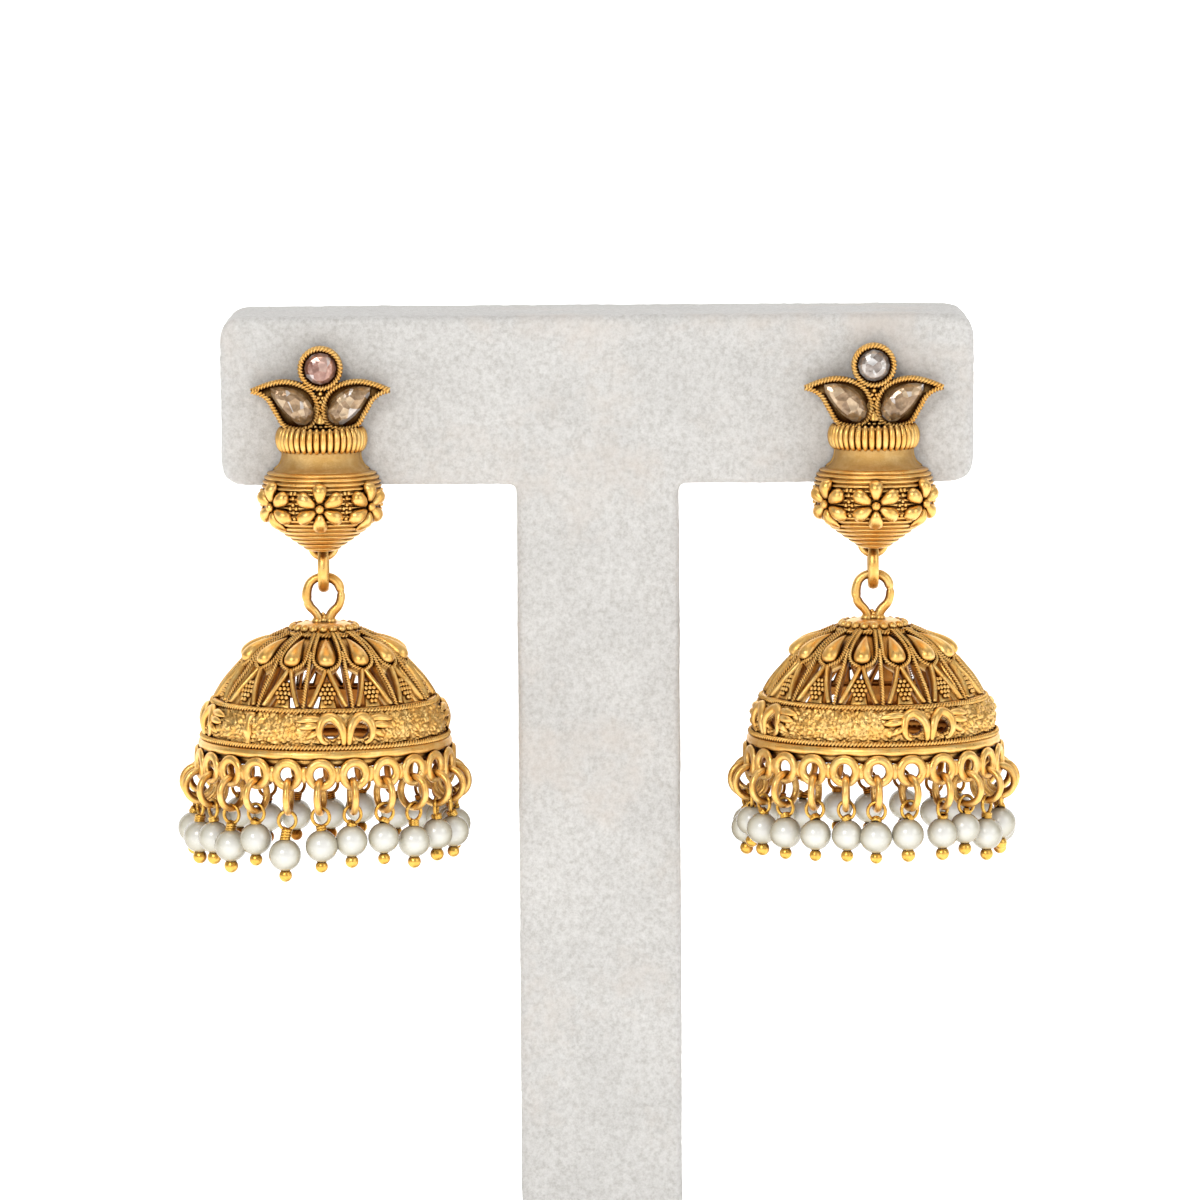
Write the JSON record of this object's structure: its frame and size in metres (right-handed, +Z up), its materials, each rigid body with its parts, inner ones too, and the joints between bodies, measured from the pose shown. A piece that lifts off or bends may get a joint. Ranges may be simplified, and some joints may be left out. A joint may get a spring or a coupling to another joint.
{
  "type": "pair of jhumka earrings on a display stand",
  "caption": "Pair of bell-shaped antique gold drop earrings with a half-pot stud, pierced dome and pearl fringe, pinned on a velvet T-bar display stand.",
  "frame": {"origin": "centre of the base's underside, on the surface that the stand rests on", "axes": "+Z up, +X to the viewer's right along the bar, -Y to the front, where the earrings hang"},
  "size_m": [0.0798, 0.05, 0.114],
  "materials": {
    "velvet": "short off-white velvet pile",
    "antique_gold": "matte antique gold plating, darker in the hollows",
    "crystal": "clear faceted stone over foil",
    "pearl": "imitation pearl with a soft sheen"
  },
  "bodies": {
    "root": {"stand_tee": "velvet", "stand_base": "velvet", "left_stud": "antique_gold", "left_round_stone": "crystal", "left_outer_leaf_stone": "crystal", "left_inner_leaf_stone": "crystal", "right_stud": "antique_gold", "right_round_stone": "crystal", "right_outer_leaf_stone": "crystal", "right_inner_leaf_stone": "crystal"},
    "left_link": {"left_jump_ring": "antique_gold"},
    "left_drop": {"left_bell": "antique_gold", "left_pearl_fringe": "pearl"},
    "right_link": {"right_jump_ring": "antique_gold"},
    "right_drop": {"right_bell": "antique_gold", "right_pearl_fringe": "pearl"}
  },
  "joints": [
    {"name": "left_swing", "type": "hinge", "parent": "root", "child": "left_link", "pos_m": [-0.026, -0.0059, 0.09105], "axis": [1, 0, 0], "range_deg": [-30, 30]},
    {"name": "left_tilt", "type": "hinge", "parent": "left_link", "child": "left_drop", "pos_m": [-0.026, -0.0059, 0.08875], "axis": [0, 1, 0], "range_deg": [-8, 30]},
    {"name": "right_swing", "type": "hinge", "parent": "root", "child": "right_link", "pos_m": [0.026, -0.0059, 0.09105], "axis": [1, 0, 0], "range_deg": [-30, 30]},
    {"name": "right_tilt", "type": "hinge", "parent": "right_link", "child": "right_drop", "pos_m": [0.026, -0.0059, 0.08875], "axis": [0, 1, 0], "range_deg": [-30, 8]}
  ]
}
